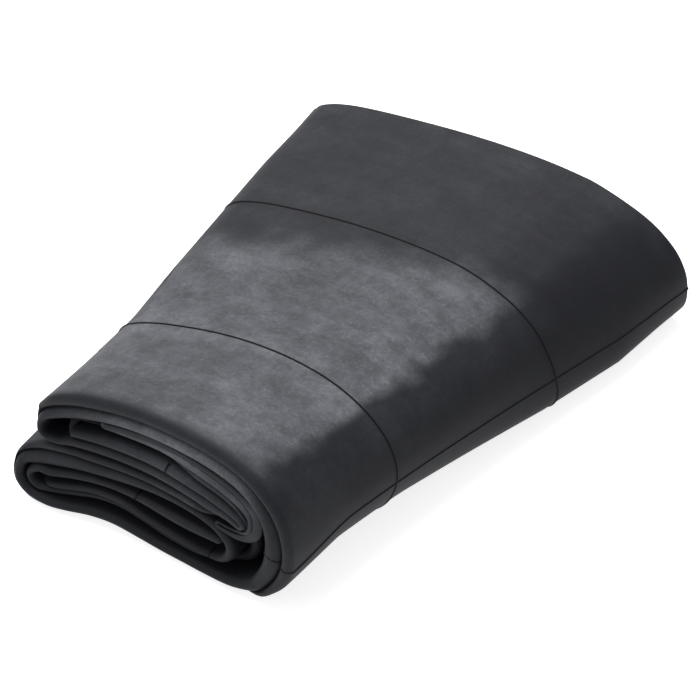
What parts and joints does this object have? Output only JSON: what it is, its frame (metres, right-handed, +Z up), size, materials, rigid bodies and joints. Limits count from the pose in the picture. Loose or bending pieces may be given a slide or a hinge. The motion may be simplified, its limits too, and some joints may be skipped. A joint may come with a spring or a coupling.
{
  "type": "bicycle inner tube",
  "caption": "Deflated fat-tyre inner tube, pressed flat and folded into a tapered bundle, with its screw-capped valve tucked inside the fold.",
  "frame": {"origin": "middle of the footprint, on the surface that the bundle rests on", "axes": "+X across the folds towards the large outer fold, +Y from the rim side to the tread side, +Z up through the layers"},
  "size_m": [0.126, 0.176, 0.044],
  "materials": {
    "tube_rubber": "matt moulded butyl with a dusty bloom",
    "valve_rubber": "smooth moulded rubber",
    "stem_brass": "turned and threaded",
    "core_brass": "turned, small tool marks",
    "plated_steel": "nickel plated, satin",
    "pin_steel": "drawn wire",
    "seal_rubber": "soft dark red seal rubber",
    "cap_plastic": "moulded black plastic with grip flutes"
  },
  "bodies": {
    "tube": {"tube_body": "tube_rubber", "valve_patch": "valve_rubber", "valve_stem": "stem_brass", "core_plug": "core_brass", "core_barrel": "core_brass", "barrel_gasket": "seal_rubber", "core_spring": "pin_steel"},
    "washer": {"rim_washer": "plated_steel"},
    "nut": {"rim_nut": "plated_steel"},
    "pin": {"core_pin": "pin_steel", "pin_seat": "seal_rubber"},
    "cap_seal": {"cap_gasket": "seal_rubber"},
    "cap": {"dust_cap": "cap_plastic"}
  },
  "joints": [
    {"name": "pin_press", "type": "slide", "parent": "tube", "child": "pin", "axis": [0, 1, 0], "range_m": [0, 0.0015], "stiffness_N_per_m": 600, "springref_m": -0.001, "deforming": ["core_spring"]},
    {"name": "washer_slide", "type": "slide", "parent": "tube", "child": "washer", "axis": [0, -1, 0], "range_m": [0, 0.008]},
    {"name": "nut_turn", "type": "hinge", "parent": "washer", "child": "nut", "pos_m": [0.0455, 0.018, 0.017], "axis": [0, -1, 0], "range_deg": [0, 3640]},
    {"name": "cap_lift", "type": "slide", "parent": "tube", "child": "cap_seal", "axis": [0, -1, 0], "range_m": [0, 0.012]},
    {"name": "cap_turn", "type": "hinge", "parent": "cap_seal", "child": "cap", "pos_m": [0.0455, 0, 0.017], "axis": [0, -1, 0], "range_deg": [0, 5450]}
  ],
  "couplings": [
    {"joint": "nut_turn", "follows": "washer_slide", "rad_per_m": 7913.3},
    {"joint": "cap_turn", "follows": "cap_lift", "rad_per_m": 7913.3}
  ]
}
